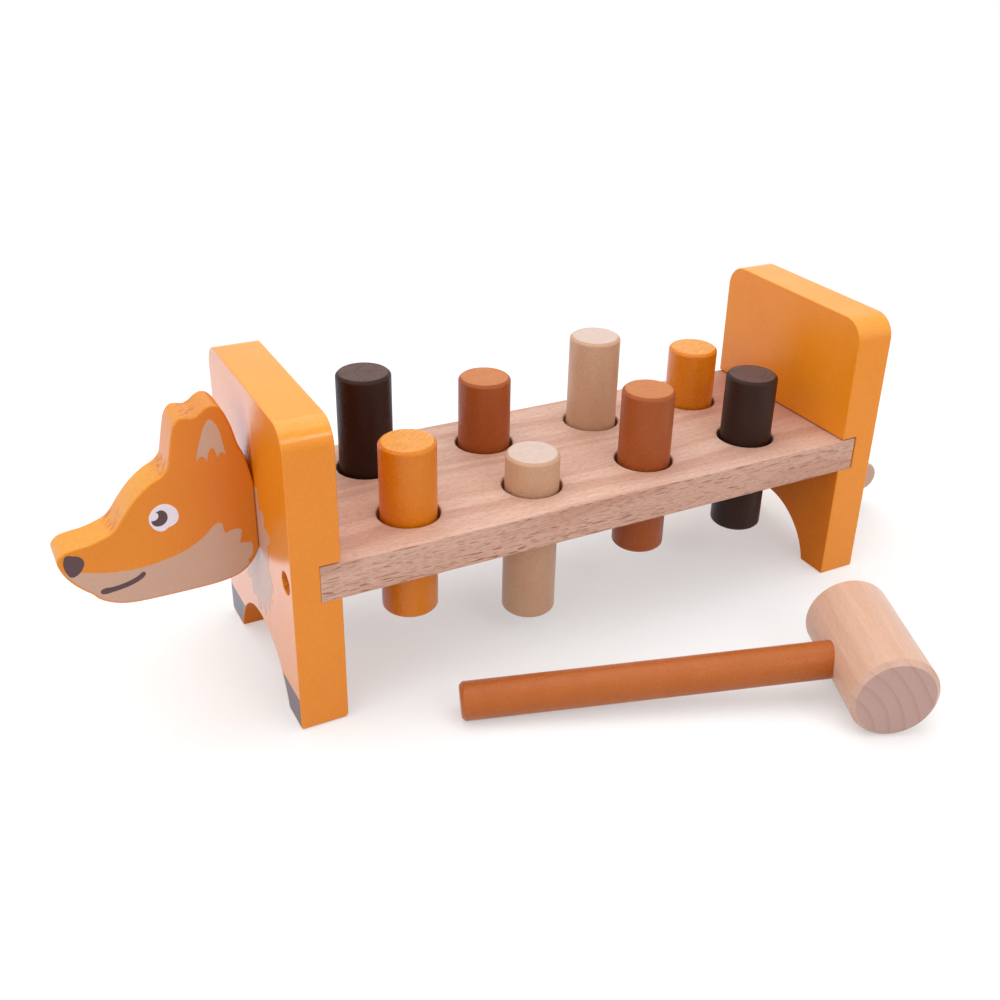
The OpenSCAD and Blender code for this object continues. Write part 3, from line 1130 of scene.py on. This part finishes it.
@dataclass
class FoxHead:
    """The flat sawn head, with its rounded edges and the prints on both of its side faces.

    Outlines are in millimetres, forward from the end board and up from the jaw.

    Args:
        finish: its lacquer.
        pale: ink of the cheek and the ear.
        dark: ink of the nose, the mouth and the pupil.
        white: ink of the eye.
        edge_radius: rounding of its edges.
        cheek: outline of the cheek, open below the jaw and behind the end board.
        ear: outline of the ear's lining.
        eye: outline of the eye.
        pupil: outline of the pupil, with the notch of its glint.
        nose: outline of the nose.
        mouth: outline of the mouth.
    """

    finish: Finish
    pale: Finish
    dark: Finish
    white: Finish
    edge_radius: float = 0.9 * MM
    cheek: tuple[Knot, ...] = knots(
        (73, 19.5), (66.9, 18.5), (64.2, 18.0), (57.7, 16.1), (49.3, 14.8), (41.8, 14.7), (33.4, 16.0),
        (25.9, 18.3), (19.9, 22.0), (15.2, 26.0), (13.7, 26.0), (12.8, 22.8), (12.4, 21.1), (10.2, 21.9),
        (7.6, 22.0), (6.4, 21.2), (6.6, 18.6), (7.4, 15.7), (5.0, 15.4), (2.8, 15.0), (2.6, 12.3),
        (3.2, 9.3), (4.9, 7.5), (4.5, 6.3), (5.1, 4.6), (8, -4), (73, -4),
        tips=(0, 12, 17, 19, 22, 25, 26))
    ear: tuple[Knot, ...] = knots(
        (14.1, 68.0), (12.7, 66.9), (11.0, 63.3), (10.1, 58.3), (9.4, 53.4), (10.9, 54.6), (12.5, 52.6),
        (13.0, 55.2), (13.9, 56.7), (15.3, 55.6), (16.2, 51.6), (17.0, 53.6), (18.4, 54.2), (20.1, 52.3),
        (19.3, 56.6), (17.7, 61.7), (15.6, 66.6), tips=(4, 6, 10, 13))
    eye: tuple[Knot, ...] = knots(
        (33.4, 38.5), (30.6, 37.3), (28.6, 34.3), (28.8, 31.0), (30.3, 29.4), (32.4, 28.7), (34.2, 27.6),
        (36.4, 28.2), (38.2, 30.3), (38.9, 33.4), (38.2, 35.6), (36.2, 37.7), tips=(5,))
    pupil: tuple[Knot, ...] = knots(
        (36.2, 35.8), (34.4, 36.2), (32.9, 35.2), (32.3, 33.4), (32.6, 31.8), (33.7, 30.5), (35.2, 29.9),
        (36.8, 30.2), (37.8, 31.2), (38.2, 32.6), (37.1, 32.5), (36.1, 32.9), (35.5, 33.9), (35.6, 35.0),
        tips=(0, 9))
    nose: tuple[Knot, ...] = knots(
        (68.3, 25.7), (66.0, 25.3), (63.7, 24.2), (62.6, 22.1), (63.5, 19.3), (65.6, 17.2), (67.5, 16.9),
        (69.0, 19.4), (69.5, 21.9), (69.1, 24.5))
    mouth: tuple[Knot, ...] = knots(
        (58.7, 8.5), (57.8, 9.3), (54.3, 9.3), (51.0, 9.7), (47.7, 10.5), (44.9, 11.7), (43.2, 12.7),
        (42.5, 12.2), (42.8, 11.0), (45.1, 9.4), (48.0, 8.3), (51.3, 7.6), (54.6, 7.2), (57.6, 7.1),
        (58.5, 7.6))

    def build(self) -> None:
        """Make the head and its prints."""
        low, high = span("fox_head")
        head = sawn_object("fox_head_lacquered", node_shell("fox_head"), self.edge_radius)
        register(head, "bench", self.finish, "fox_head")
        prints = (("cheek", self.cheek, self.pale, 1), ("ear_lining", self.ear, self.pale, 1),
                  ("eye_white", self.eye, self.white, 1), ("pupil", self.pupil, self.dark, 2),
                  ("nose", self.nose, self.dark, 2), ("mouth", self.mouth, self.dark, 2))
        for side, face in ((Side.NEAR, low.y), (Side.FAR, high.y)):
            keeper = flat_keeper(head, Y, face)
            place = page(Vector((high.x, face, low.z)), -ALONG, side.sign * ACROSS)
            for name, outline, ink, layers in prints:
                Print(f"{name}_{side.value}", outline, ink, layers).build(place, keeper)
            bpy.data.objects.remove(keeper)


@dataclass
class BoardPrints:
    """The pale chest and the dark paws, printed on the outer face of the head's end board.

    Outlines are in millimetres, from the middle of the board and up from the floor.

    Args:
        pale: ink of the chest.
        dark: ink of the paws.
        paw_inner: distance of the paws' prints from the middle, inside the arch.
        paw_outer: distance of their other sides, beyond the board.
        paw_low: their foot, below the board.
        paw_high: their top.
        chest_half: near half of the chest's outline, from its top to its foot.
    """

    pale: Finish
    dark: Finish
    paw_inner: float = 20.0
    paw_outer: float = 60.0
    paw_low: float = -5.0
    paw_high: float = 13.8
    chest_half: tuple[Knot, ...] = knots(
        (7.0, 86.4), (9.6, 86.6), (10.2, 83.0), (10.7, 78.4), (13.9, 79.3), (16.1, 78.5), (15.7, 73.3),
        (18.2, 73.4), (21.0, 72.6), (21.9, 71.0), (20.6, 68.6), (17.8, 66.2), (18.2, 63.4), (19.3, 60.4),
        (16.9, 57.8), (18.4, 55.4), (19.9, 52.0), (21.9, 47.8), (20.2, 47.0), (18.2, 48.6), (18.5, 45.4),
        (18.7, 41.0), (17.4, 40.4), (15.9, 41.9), (14.1, 43.9), (14.7, 40.6), (15.0, 35.2), (13.7, 34.7),
        (12.0, 36.1), (10.1, 38.4), (9.3, 35.6), (8.8, 30.4), (7.3, 30.2), (5.6, 31.6), (3.7, 33.3),
        (2.0, 30.4), (0.9, 27.2),
        tips=(3, 6, 11, 14, 17, 19, 21, 24, 26, 29, 31, 34))

    def build(self, board: bpy.types.Object) -> None:
        """Make the prints on the finished board."""
        face = span("head_end_board")[0].x
        place = page(Vector((face, 0, 0)), -ACROSS, -ALONG)
        keeper = flat_keeper(board, X, face)
        mirrored = tuple(Knot(-knot.across, knot.up, knot.is_tip) for knot in reversed(self.chest_half))
        Print("chest", self.chest_half + mirrored, self.pale).build(place, keeper)
        for name, sign in (("paw_near", 1), ("paw_far", -1)):
            inner, outer = sign * self.paw_inner, sign * self.paw_outer
            outline = knots((inner, self.paw_low), (outer, self.paw_low), (outer, self.paw_high),
                            (inner, self.paw_high), tips=range(4))
            Print(name, outline, self.dark).build(place, keeper)
        bpy.data.objects.remove(keeper)


@dataclass
class FoxTail:
    """The flat sawn tail, with a tip dipped in pale paint.

    Args:
        finish: its lacquer.
        tip: paint of its tip.
        edge_radius: rounding of its edges.
        dip_back: share of the tail's length, from its far end, at which the dip's slanting edge passes.
        dip_up: share of its height at which it passes there.
    """

    finish: Finish
    tip: Finish
    edge_radius: float = 1.6 * MM
    dip_back: float = 0.45
    dip_up: float = 0.42

    def build(self) -> None:
        """Make the tail."""
        low, high = span("fox_tail")
        size = high - low
        shell = node_shell("fox_tail")
        cut = Vector((high.x - self.dip_back * size.x, 0, low.z + self.dip_up * size.z))
        slant = (UP - ALONG).normalized()
        bmesh.ops.bisect_plane(shell, geom=shell.verts[:] + shell.edges[:] + shell.faces[:], dist=TOUCH,
                               plane_co=cut, plane_no=slant)
        tail = sawn_object("fox_tail_lacquered", shell, self.edge_radius)
        register(tail, "bench", self.finish, "fox_tail")
        tail.data.materials.append(self.tip.material())
        for face in tail.data.polygons:
            face.material_index = int((face.center - cut).dot(slant) < 0)


@dataclass
class Mallet:
    """The mallet that lies in front of the bench: a chamfered round of wood on a painted handle.

    Args:
        wood: wood of the head.
        paint: paint of the handle.
        turn: direction of the head's axis from X, in degrees.
        skew: angle by which the handle stands off square to the head, in degrees.
        slope: angle at which the handle slopes down to the floor, in degrees.
        radius: radius of the head.
        length: length of the head.
        chamfer: width of the head's chamfers.
        socket_radius: radius of the handle's socket.
        socket_past: depth of the socket beyond the head's axis.
        rim_radius: rounding of the head's chamfers.
        rim_from: distance from the head's middle at which its ends begin, beyond the socket.
        handle_radius: rounding of the handle's chamfers.
        sides: number of faces round the head.
        segments: number of faces across a rounding.
    """

    wood: Finish
    paint: Finish
    turn: float
    skew: float = 2.3
    slope: float = 3.58
    radius: float = 17.85 * MM
    length: float = 58 * MM
    chamfer: float = 2 * MM
    socket_radius: float = 7.7 * MM
    socket_past: float = 9.3 * MM
    rim_radius: float = 0.15 * MM
    rim_from: float = 15 * MM
    handle_radius: float = 0.4 * MM
    sides: int = 128
    segments: int = 3

    def axis_place(self, turn: float, slope: float) -> Matrix:
        """Bring Z, from the head's middle, to a direction turned from X and sloping down, both in degrees."""
        swing = Matrix.Rotation(math.radians(turn), 4, "Z")
        dip = Matrix.Rotation(math.radians(90 + slope), 4, "Y")
        return Matrix.Translation(centre_of("mallet_head")) @ swing @ dip

    def turned_head(self) -> bmesh.types.BMesh:
        """Turn the head and drill its socket."""
        reach = self.socket_past + 2 * self.radius
        handle_place = self.axis_place(self.turn + 90 + self.skew, self.slope)
        bit = turned_bar(self.socket_radius, reach, self.sides,
                         handle_place @ Matrix.Translation((0, 0, reach / 2 - self.socket_past)))
        bar = turned_bar(self.radius, self.length, self.sides, self.axis_place(self.turn, 0), self.chamfer)
        head, drill = new_object("mallet_bar", bar), new_object("mallet_drill", bit)
        drilled = bmesh.new()
        drilled.from_mesh(cut_mesh(head, drill, Cut.OUTSIDE))
        bpy.data.objects.remove(head)
        bpy.data.objects.remove(drill)
        return drilled

    def rim_rounding(self, edge: bmesh.types.BMEdge) -> float:
        """Radius of one of the head's sharp edges: the socket's mouth stays sharp."""
        spot = self.axis_place(self.turn, 0).inverted() @ middle(edge)
        return self.rim_radius if abs(spot.z) > self.rim_from else 0

    def build(self) -> None:
        """Make the head and the handle."""
        head = rounded_object("mallet_head_sanded", self.turned_head(), self.rim_rounding, self.rim_radius,
                              self.segments)
        handle = rounded_object("mallet_handle_painted", node_shell("mallet_handle"),
                                lambda edge: self.handle_radius, self.handle_radius, self.segments)
        register(head, "mallet", self.wood, "mallet_head")
        register(handle, "mallet", self.paint, "mallet_handle")


@dataclass
class Hardware:
    """The CAD nodes that stay as they are: grip rings, screws and dowels.

    Args:
        rubber: finish of the grip rings.
        steel: finish of the screws.
        wood: finish of the dowels.
    """

    rubber: Finish
    steel: Finish
    wood: Finish

    def build(self) -> None:
        """Dress the nodes."""
        rings = [f"grip_ring_{row.value}_{number}" for row in Row for number in range(1, 5)]
        finishes = {name: self.rubber for name in rings}
        finishes |= {"board_screws": self.steel, "head_dowels": self.wood, "tail_dowels": self.wood}
        for name, finish in finishes.items():
            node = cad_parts[name]
            node.data.materials.clear()
            node.data.materials.append(finish.material())
            LOG.info("%s: %s", name, finish.name)


@dataclass
class Studio:
    """White floor and surround, like a light tent, with four softboxes.

    Args:
        sky: brightness of the surround as light.
        white: colour of the surround and of the plain floor.
        floor_colour: colour of the floor.
        floor_lift: light that the floor adds near the object, where its shadow shows.
        back_reflection: painted reflection, a glow of the floor behind the bench that only a gloss shows.
        back_colour: colour of that glow, cooler than the softboxes.
        back_from: place along Y at which the glow starts.
        back_at: place along Y at which it is full.
        white_from: distance from the origin at which the floor starts to turn plain white.
        white_at: distance from the origin at which it is plain white.
        floor_half: half the floor's size.
        floor_drop: gap that keeps the floor off the soles.
        lamps: name, place, size and power of each softbox.
    """

    sky: float = 0.7
    white: str = "#FFFFFF"
    floor_colour: str = "#D2D2D2"
    floor_lift: float = 0.36
    back_reflection: float = 0.5
    back_colour: str = "#9CD2FF"
    back_from: float = -0.12
    back_at: float = 0.1
    white_from: float = 0.22
    white_at: float = 0.5
    floor_half: float = 4.0
    floor_drop: float = 0.05 * MM
    lamps: tuple[tuple[str, Vector, float, float], ...] = (
        ("top_softbox", Vector((-0.1, 0.2, 1.25)), 1.5, 10.0),
        ("right_softbox", Vector((0.6, -0.9, 0.5)), 0.8, 1.7),
        ("left_softbox", Vector((-1.0, -0.4, 0.4)), 0.8, 2.3),
        ("front_softbox", Vector((0.2, -1.0, 0.88)), 0.3, 1.1),
    )

    def seen(self, tree: bpy.types.NodeTree) -> Socket:
        """Add a mask of the rays that see the background itself or in a gloss."""
        path = add_node(tree, "ShaderNodeLightPath")
        gloss = add_node(tree, "ShaderNodeMath", {
            0: path.outputs["Is Camera Ray"], 1: path.outputs["Is Glossy Ray"],
        }, operation="MAXIMUM")
        return add_node(tree, "ShaderNodeMath", {
            0: gloss.outputs["Value"], 1: path.outputs["Is Transmission Ray"],
        }, operation="MAXIMUM").outputs["Value"]

    def light_world(self) -> None:
        """Make the surround: white to see, softer as light."""
        world = bpy.data.worlds.new("studio")
        bpy.context.scene.world = world
        tree = empty_tree(world)
        light, white = [add_node(tree, "ShaderNodeBackground", {
            "Color": linear(self.white), "Strength": strength,
        }) for strength in (self.sky, 1.0)]
        mixed = add_node(tree, "ShaderNodeMixShader", {
            0: self.seen(tree), 1: light.outputs["Background"], 2: white.outputs["Background"],
        })
        add_node(tree, "ShaderNodeOutputWorld", {"Surface": mixed.outputs["Shader"]})

    def fading_sheet(self, tree: bpy.types.NodeTree) -> Socket:
        """Add the floor's paper, which shows the shadow near the object and is plain white far away."""
        seen = self.seen(tree)
        matt = add_node(tree, "ShaderNodeBsdfDiffuse", {"Color": linear(self.floor_colour)})
        lift = add_node(tree, "ShaderNodeMath", {0: seen, 1: self.floor_lift}, operation="MULTIPLY")
        glow, white = [add_node(tree, "ShaderNodeEmission", {
            "Color": linear(self.white), "Strength": strength,
        }) for strength in (lift.outputs["Value"], 1.0)]
        near = add_node(tree, "ShaderNodeAddShader", {0: matt.outputs["BSDF"], 1: glow.outputs["Emission"]})
        spot = add_node(tree, "ShaderNodeTexCoord")
        away = add_node(tree, "ShaderNodeVectorMath", {0: spot.outputs["Object"]}, operation="LENGTH")
        fade = add_node(tree, "ShaderNodeMapRange", {
            "Value": away.outputs["Value"], "From Min": self.white_from, "From Max": self.white_at,
        }, interpolation_type="SMOOTHSTEP")
        share = add_node(tree, "ShaderNodeMath", {0: fade.outputs["Result"], 1: seen}, operation="MULTIPLY")
        return add_node(tree, "ShaderNodeMixShader", {
            0: share.outputs["Value"], 1: near.outputs["Shader"], 2: white.outputs["Emission"],
        }).outputs["Shader"]

    def painted_back_reflection(self, tree: bpy.types.NodeTree) -> Socket:
        """Add a painted reflection: a glow of the floor behind the bench, which only a gloss shows."""
        # Painted reflection: only glossy rays see this glow, so it lights nothing
        spot = add_node(tree, "ShaderNodeTexCoord")
        place = add_node(tree, "ShaderNodeSeparateXYZ", {"Vector": spot.outputs["Object"]})
        path = add_node(tree, "ShaderNodeLightPath")
        behind = add_node(tree, "ShaderNodeMapRange", {
            "Value": place.outputs["Y"], "From Min": self.back_from, "From Max": self.back_at,
            "To Max": self.back_reflection,
        }, interpolation_type="SMOOTHSTEP")
        glossy_only = add_node(tree, "ShaderNodeMath", {
            0: behind.outputs["Result"], 1: path.outputs["Is Glossy Ray"],
        }, operation="MULTIPLY")
        return add_node(tree, "ShaderNodeEmission", {
            "Color": linear(self.back_colour), "Strength": glossy_only.outputs["Value"],
        }).outputs["Emission"]

    def lay_floor(self) -> None:
        """Make the floor, which keeps the object's shadow."""
        sheet = bmesh.new()
        bmesh.ops.create_grid(sheet, x_segments=1, y_segments=1, size=self.floor_half,
                              matrix=Matrix.Translation((0, 0, -self.floor_drop)))
        floor = new_object("floor", sheet)
        paper = bpy.data.materials.new("white paper")
        tree = empty_tree(paper)
        whole = add_node(tree, "ShaderNodeAddShader", {0: self.fading_sheet(tree), 1: self.painted_back_reflection(tree)})
        add_node(tree, "ShaderNodeOutputMaterial", {"Surface": whole.outputs["Shader"]})
        floor.data.materials.append(paper)

    def hang_lamps(self) -> None:
        """Make the lamps, square softboxes that look at the middle of the bench."""
        for name, place, size, power in self.lamps:
            light = bpy.data.lights.new(name, "AREA")
            light.size = size
            light.energy = power
            lamp = linked(name, light)
            lamp.location = place
            lamp.rotation_euler = (-place).to_track_quat("-Z", "Y").to_euler()

    def build(self) -> None:
        """Make the whole studio."""
        self.light_world()
        self.lay_floor()
        self.hang_lamps()


@dataclass
class Viewpoint:
    """The camera of the photograph, found by fitting the bench's corners.

    Args:
        place: place of the lens.
        yaw: direction of view from +Y towards +X, in radians.
        pitch: angle of view below the horizon, in radians.
        roll: turn of the picture, in radians.
        focal: focal length in pixels of the picture.
        picture: width and height of the picture in pixels.
        centre: pixel that the lens looks straight at.
        sensor: width of the sensor in millimetres.
    """

    place: Vector = field(default_factory=lambda: Vector((-236.2, -391.2, 294.4)) * MM)
    yaw: float = 0.5193
    pitch: float = 0.4773
    roll: float = 0.0366
    focal: float = 1174.5
    picture: float = 1000.0
    centre: tuple[float, float] = (536.75, 472.5)
    sensor: float = 36.0

    def build(self) -> None:
        """Make the camera and look through it."""
        view = Vector((math.sin(self.yaw) * math.cos(self.pitch), math.cos(self.yaw) * math.cos(self.pitch),
                       -math.sin(self.pitch)))
        right = Vector((math.cos(self.yaw), -math.sin(self.yaw), 0))
        upright = Matrix((right, right.cross(view), -view)).transposed()
        turned = upright @ Matrix.Rotation(self.roll, 3, "Z")
        lens = bpy.data.cameras.new("photograph")
        lens.sensor_width = self.sensor
        lens.lens = self.focal / self.picture * self.sensor
        lens.shift_x = 0.5 - self.centre[0] / self.picture
        lens.shift_y = self.centre[1] / self.picture - 0.5
        camera = linked("photograph", lens)
        camera.matrix_world = Matrix.Translation(self.place) @ turned.to_4x4()
        bpy.context.scene.camera = camera


# Paint and wood of the toy, with painted light and shade where a comment says so
# painted_top_light is a paler colour painted on the faces that look up, as painted light from above
BOARD_LACQUER = Lacquer("orange_lacquer_on_beech", "orange_lacquer", "#EA8A12", roughness=0.15, ior=1.47,
                        shadow="#D47408", painted_top_light="#F2A030")
TAIL_LACQUER = Lacquer("orange_lacquer_rubbed_down", "orange_lacquer", "#EE8F18", roughness=0.28, ior=1.42,
                       shadow="#D8780C", painted_top_light="#F2A43C")
# neck_shade is painted shade where the head meets its end board
SAWN_LACQUER = RubbedLacquer(
    "orange_lacquer_on_sawn_wood", "orange_lacquer", "#E4881C", roughness=0.32, ior=1.44, shadow="#C86E0C",
    painted_top_light="#E69C2A", neck_shade="#CC6206",
    rubs=(Rub(-157.5, 118.5, 5, 62), Rub(-167.6, 99, 5, 15), Rub(-186.2, 81, 5.5, 38)))
SOAKED_HOLE = DrilledWood("lacquer_soaked_into_a_hole", "orange_lacquer", "#F28C14", second="#A04A04")
# Darker lacquer painted as shade on the arch and on the inner faces under the plank
ARCH_AND_UNDER_PLANK_SHADE = Lacquer("orange_lacquer_with_painted_shade", "orange_lacquer", "#DC780E", roughness=0.6, ior=1.33,
                       shadow="#B85A04", painted_top_light="#D8800C")
# The end colour of each peg paint is a paler top, painted light from above
CREAM_PAINT = PegPaint("cream_satin_paint", "cream_paint", "#CBA181", roughness=0.42, lines="#A87454",
                       end="#D6BEB1", line_strength=0.12)
RUST_PAINT = PegPaint("rust_satin_paint", "rust_paint", "#A34F1A", roughness=0.4, ior=1.4, lines="#7C340C",
                      end="#C8783C", line_strength=0.2, line_turn=-15)
BROWN_PAINT = PegPaint("dark_brown_satin_paint", "dark_brown_paint", "#321A11", roughness=0.42, ior=1.28,
                       lines="#1C0E0C", end="#60453F", line_strength=0.4, line_turn=35)
ORANGE_PAINT = PegPaint("orange_satin_paint", "orange_lacquer", "#DC7D06", roughness=0.26, ior=1.44,
                        lines="#C06204", end="#EC9E36", line_strength=0.35, line_turn=30)
HANDLE_PAINT = PegPaint("rust_satin_paint_on_handle", "rust_paint", "#B66020", roughness=0.31, ior=1.4,
                        lines="#8C4214")
# board_shade is painted shade and painted orange bounce at the plank's end by the tail board
PLANK_BEECH = Wood("sanded_beech", "beech", "#DDB7A4", roughness=0.5, dark="#B47E64", fleck="#7E3A24",
                   end_colour="#B98870", pith=(0, 160, -60), ring=7, wander=2.6, band_strength=0.5,
                   fibre_strength=0.26, pore_strength=0.182, fleck_strength=0.72, side_strength=0.25,
                   board_shade="#A8644A", board_shade_strength=0.7, board_shade_spot=(130, 16, 72), board_shade_reach=72)
MALLET_TURN = 67.1
MALLET_WOOD = TurnedWood("sanded_pale_hardwood", "pale_wood", "#DAAE94", roughness=0.3, dark="#AC7C6A",
                         fleck="#A8745A", end_colour="#BB988F",
                         pith=tuple(centre_of("mallet_head") / MM + Vector((-26, 11, -18))), turn=MALLET_TURN,
                         ring=6, wander=0.5, band_strength=0.3, fibre_strength=0.12, pore_strength=0.084,
                         fleck_strength=0)
DOWEL_WOOD = Wood("planed_beech_dowel", "beech", "#D9B29A", roughness=0.55, dark="#BE8C72", fleck="#7E5240",
                  end_colour="#BE8C72", pith=(0, 10, 0))
CREAM_INK = Ink("cream_ink", "cream_paint", "#C8A18B", second="#B18771")
DARK_INK = Ink("dark_ink", "dark_brown_paint", "#523438", second="#3E262A")
WHITE_INK = Ink("white_ink", "cream_paint", "#E8E0EC", second="#D4CCDA")
GRIP_RUBBER = Rubber("grip_rubber", "grip_rubber", "#2A2A2C", second="#4A4A4C")
SCREW_ZINC = ZincPlate("zinc_plated_steel", "zinc_steel", "#B9BDC2", second="#8E9298")


def main() -> None:
    """Build the studio, the camera and every piece of the bench."""
    logging.basicConfig(level=logging.INFO, format="%(name)s %(message)s")
    Viewpoint().build()
    Studio().build()
    head_board = EndBoard(End.HEAD, BOARD_LACQUER, SOAKED_HOLE, ARCH_AND_UNDER_PLANK_SHADE, lip_radius=1.6 * MM,
                          foot_radius=2.4 * MM, sole_radius=1.4 * MM).build()
    EndBoard(End.TAIL, TAIL_LACQUER, SOAKED_HOLE, ARCH_AND_UNDER_PLANK_SHADE, sole_radius=0.5 * MM).build()
    Plank(PLANK_BEECH).build()
    front = [ORANGE_PAINT, CREAM_PAINT, RUST_PAINT, BROWN_PAINT]
    for row, paints in ((Row.FRONT, front), (Row.BACK, front[::-1])):
        for number, paint in enumerate(paints, 1):
            Peg(row, number, paint).build()
    FoxHead(SAWN_LACQUER, CREAM_INK, DARK_INK, WHITE_INK).build()
    BoardPrints(CREAM_INK, DARK_INK).build(head_board)
    FoxTail(SAWN_LACQUER, CREAM_INK).build()
    Mallet(MALLET_WOOD, HANDLE_PAINT, MALLET_TURN).build()
    Hardware(GRIP_RUBBER, SCREW_ZINC, DOWEL_WOOD).build()
    bpy.context.scene.view_settings.view_transform = "Standard"


if __name__ == "__main__":
    main()
